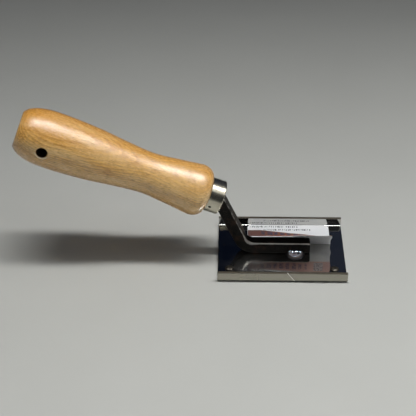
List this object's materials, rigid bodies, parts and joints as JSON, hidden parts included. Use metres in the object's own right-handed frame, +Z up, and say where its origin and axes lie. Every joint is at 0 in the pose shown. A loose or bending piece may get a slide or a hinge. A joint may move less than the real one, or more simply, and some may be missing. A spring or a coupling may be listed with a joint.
{
  "type": "edging trowel",
  "caption": "Hand edging trowel: mirror-bright sheet sole with two turned-up sides, cranked square bar and turned wooden handle with a steel ferrule.",
  "frame": {"origin": "centre of the sole's underside, on the surface that the tool stands on", "axes": "+X along the sole, away from the handle; +Z up; the turned-up sides of the sole face -Y and +Y"},
  "size_m": [0.2033, 0.06, 0.1021],
  "materials": {
    "polished_steel": "mirror polished",
    "dark_bar": "dark forge scale, worn bright on the arrises",
    "weld_metal": "bright puddle",
    "rivet_metal": "worn bright",
    "label_paper": "printed, half gloss",
    "ferrule_metal": "polished",
    "lacquered_wood": "clear lacquer"
  },
  "bodies": {
    "root": {"sole_tray": "polished_steel", "neck_bar": "dark_bar", "foot_weld": "weld_metal", "rivet_left": "rivet_metal", "rivet_right": "rivet_metal", "label": "label_paper", "ferrule": "ferrule_metal", "handle_grip": "lacquered_wood"}
  },
  "joints": []
}
